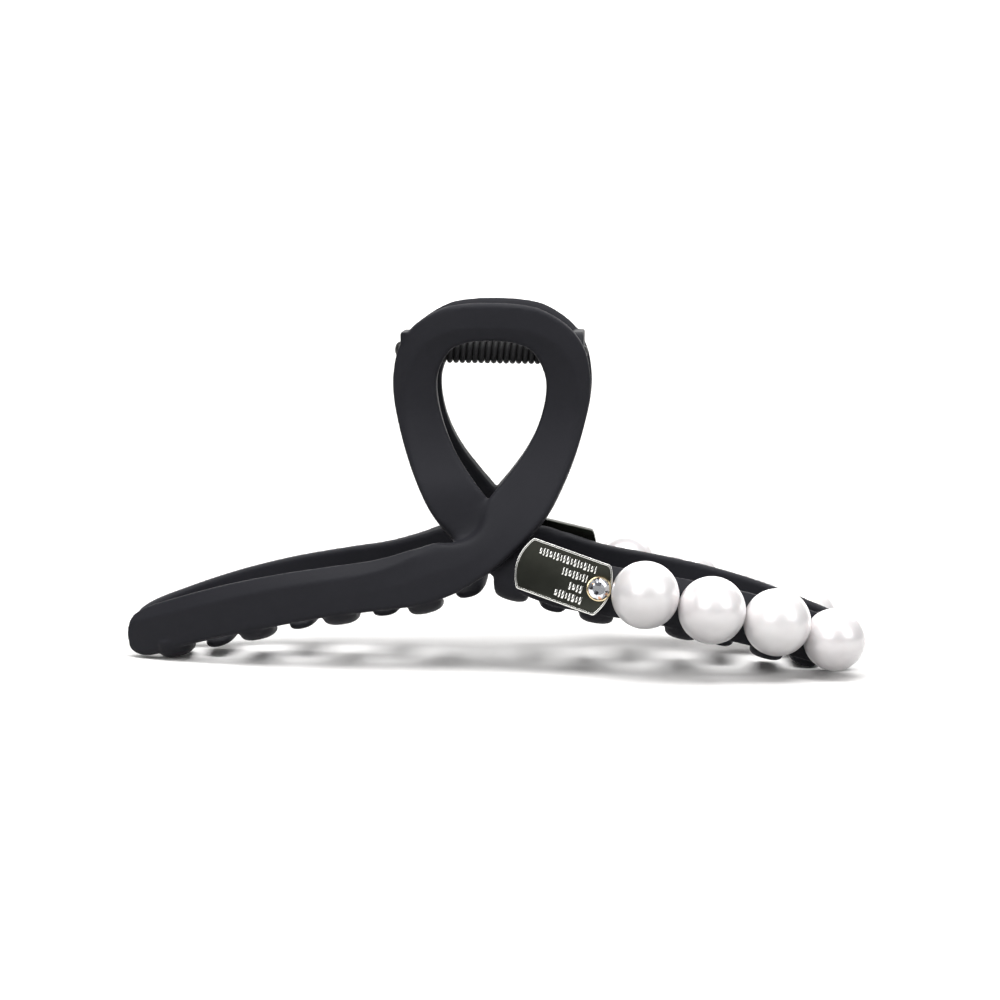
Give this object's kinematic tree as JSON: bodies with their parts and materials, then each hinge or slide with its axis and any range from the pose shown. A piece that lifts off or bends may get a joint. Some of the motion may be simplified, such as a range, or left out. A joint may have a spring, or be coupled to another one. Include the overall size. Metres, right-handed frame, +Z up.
{
  "type": "claw clip",
  "caption": "Hinged hair claw clip with looped ribbon jaws, interlocking teeth, a torsion spring, a dog tag and pearls along one arm of each jaw.",
  "frame": {"origin": "middle of the closed clip's length and depth, at the height of its lowest point, on the surface it stands on", "axes": "+X along the arms towards the pearls, parallel to the hinge pin; +Y from the front jaw to the back jaw; +Z up from the teeth to the finger handles"},
  "size_m": [0.1312, 0.0514, 0.0646],
  "materials": {
    "jaw_plastic": "soft matte black, slightly bluish",
    "black_steel": "blackened steel",
    "spring_steel": "black coated spring wire",
    "tag_metal": "polished dark silver plating with a bright rim",
    "cup_metal": "pale gold plating",
    "crystal": "faceted clear crystal with a foiled back",
    "pearl": "white imitation pearl with a soft pink sheen"
  },
  "bodies": {
    "back_half": {"back_jaw": "jaw_plastic", "hinge_pin": "black_steel", "torsion_spring": "spring_steel", "back_tag": "tag_metal", "back_stone_cup": "cup_metal", "back_stone": "crystal", "back_pearl_1": "pearl", "back_pearl_2": "pearl", "back_pearl_3": "pearl", "back_pearl_4": "pearl"},
    "front_half": {"front_jaw": "jaw_plastic", "front_tag": "tag_metal", "front_stone_cup": "cup_metal", "front_stone": "crystal", "front_pearl_1": "pearl", "front_pearl_2": "pearl", "front_pearl_3": "pearl", "front_pearl_4": "pearl"}
  },
  "joints": [
    {"name": "jaw_hinge", "type": "hinge", "parent": "back_half", "child": "front_half", "pos_m": [-0.0004, -0.00014, 0.05563], "axis": [-1, 0, 0], "range_deg": [0, 55], "stiffness_Nm_per_rad": 0.06, "springref_deg": -40.11, "deforming": ["torsion_spring"]}
  ]
}
